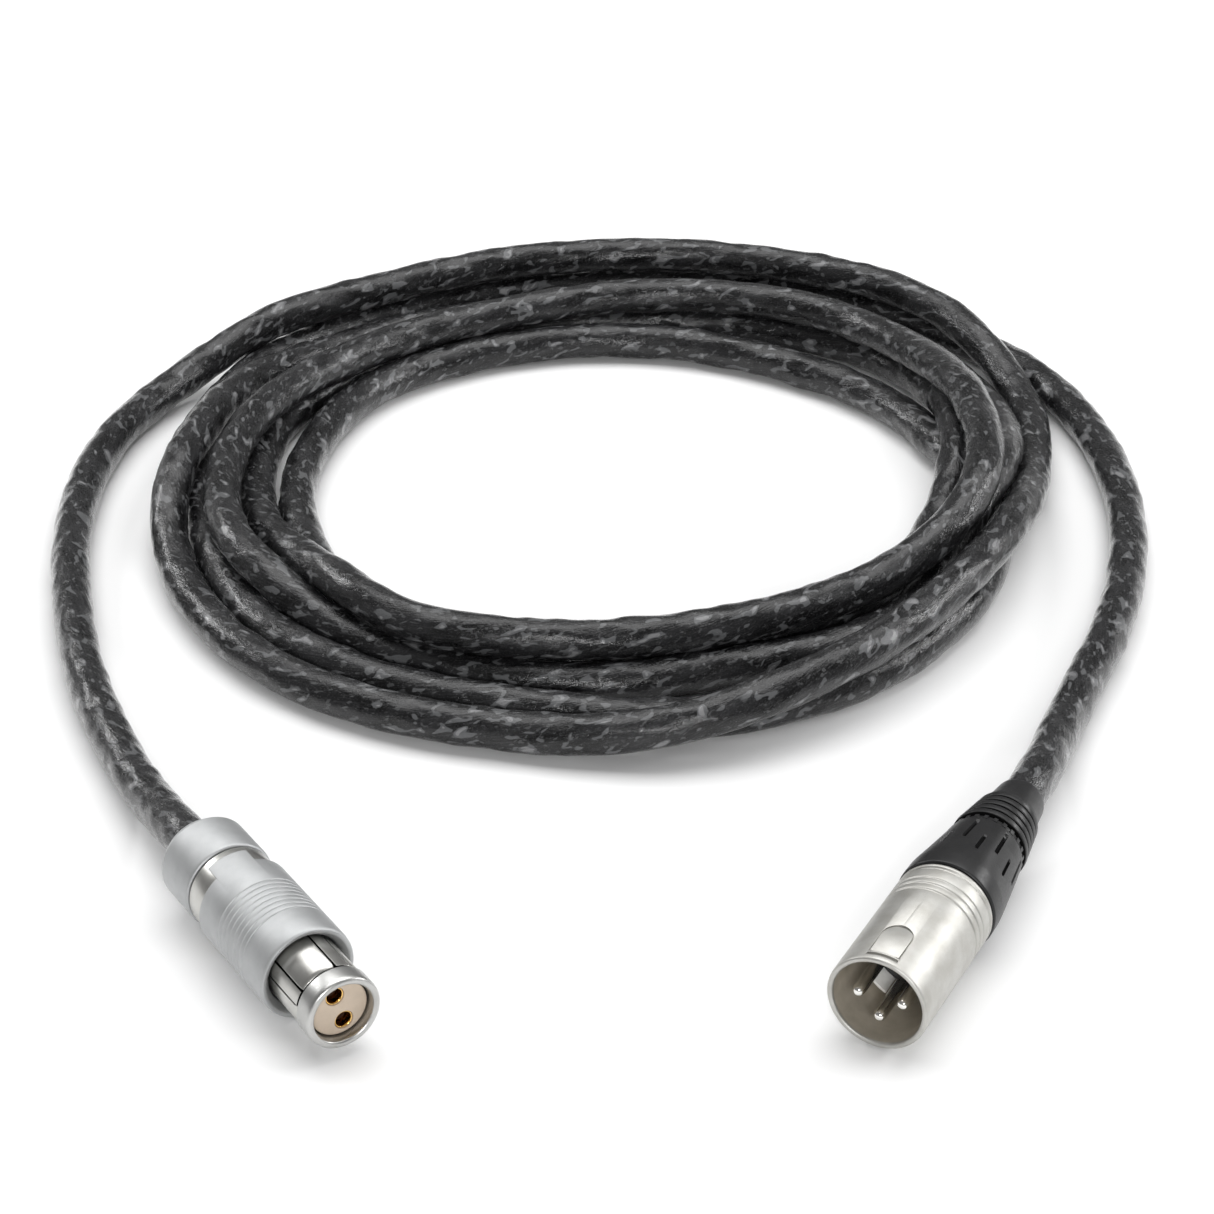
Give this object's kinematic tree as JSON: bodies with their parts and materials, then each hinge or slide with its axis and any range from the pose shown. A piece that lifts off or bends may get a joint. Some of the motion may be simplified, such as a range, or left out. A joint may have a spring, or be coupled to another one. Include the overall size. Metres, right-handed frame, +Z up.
{
  "type": "xlr cable coil",
  "caption": "Coiled audio lead with an XLR plug on one end and a small push-pull plug with a sliding release sleeve on the other",
  "frame": {"origin": "centre of the underside of the box around the two plugs", "axes": "+Z up from the surface the lead lies on; -Y is the way the XLR plug faces"},
  "size_m": [0.2682, 0.3323, 0.0267],
  "materials": {
    "nickel": "satin nickel plating",
    "matt_chrome": "matt chrome plating",
    "bright_chrome": "polished chrome plating",
    "gold": "gold plated brass",
    "black_plastic": "fine matt black",
    "clamp_plastic": "plain",
    "black_rubber": "smooth, slightly shiny",
    "beige_plastic": "fine matt",
    "collet_brass": "turned",
    "jacket": "shiny black, slightly wrinkled",
    "wire_red": "insulation",
    "wire_white": "insulation",
    "wire_blue": "insulation",
    "wire_black": "insulation"
  },
  "bodies": {
    "lead": {"xlr_shell": "nickel", "xlr_insert": "black_plastic", "xlr_pin_1": "bright_chrome", "xlr_pin_2": "bright_chrome", "xlr_pin_3": "bright_chrome", "xlr_ground_spring": "bright_chrome", "xlr_bushing": "black_plastic", "xlr_chuck": "clamp_plastic", "xlr_boot": "black_rubber", "xlr_cable_end": "jacket", "xlr_wire_1": "wire_red", "xlr_wire_2": "wire_white", "xlr_wire_3": "wire_blue", "plug_body": "bright_chrome", "plug_insulator": "beige_plastic", "plug_socket_1": "gold", "plug_socket_2": "gold", "plug_retainer": "bright_chrome", "plug_collet": "collet_brass", "plug_backnut": "matt_chrome", "plug_gland": "black_rubber", "plug_cable_end": "jacket", "plug_wire_1": "wire_red", "plug_wire_2": "wire_black", "cable_coil": "jacket", "cable_tail_plug": "jacket", "cable_tail_xlr": "jacket"},
    "sleeve": {"plug_sleeve": "matt_chrome"},
    "finger_1": {"plug_finger_1": "bright_chrome"},
    "finger_2": {"plug_finger_2": "bright_chrome"},
    "finger_3": {"plug_finger_3": "bright_chrome"},
    "finger_4": {"plug_finger_4": "bright_chrome"}
  },
  "joints": [
    {"name": "sleeve_pull", "type": "slide", "parent": "lead", "child": "sleeve", "axis": [-0.8643, 0.503, 0], "range_m": [0, 0.002], "stiffness_N_per_m": 900},
    {"name": "finger_1_bend", "type": "hinge", "parent": "lead", "child": "finger_1", "pos_m": [-0.03724, -0.04664, 0.01537], "axis": [0.4664, 0.8013, 0.3746], "range_deg": [0, 1.6]},
    {"name": "finger_2_bend", "type": "hinge", "parent": "lead", "child": "finger_2", "pos_m": [-0.03295, -0.03928, 0.01175], "axis": [0.1884, 0.3238, -0.9272], "range_deg": [0, 1.6]},
    {"name": "finger_3_bend", "type": "hinge", "parent": "lead", "child": "finger_3", "pos_m": [-0.03478, -0.0424, 0.00323], "axis": [-0.4664, -0.8013, -0.3746], "range_deg": [0, 1.6]},
    {"name": "finger_4_bend", "type": "hinge", "parent": "lead", "child": "finger_4", "pos_m": [-0.03907, -0.04977, 0.00685], "axis": [-0.1884, -0.3238, 0.9272], "range_deg": [0, 1.6]}
  ],
  "couplings": [
    {"joint": "finger_1_bend", "follows": "sleeve_pull", "rad_per_m": 13.9},
    {"joint": "finger_2_bend", "follows": "sleeve_pull", "rad_per_m": 13.9},
    {"joint": "finger_3_bend", "follows": "sleeve_pull", "rad_per_m": 13.9},
    {"joint": "finger_4_bend", "follows": "sleeve_pull", "rad_per_m": 13.9}
  ]
}
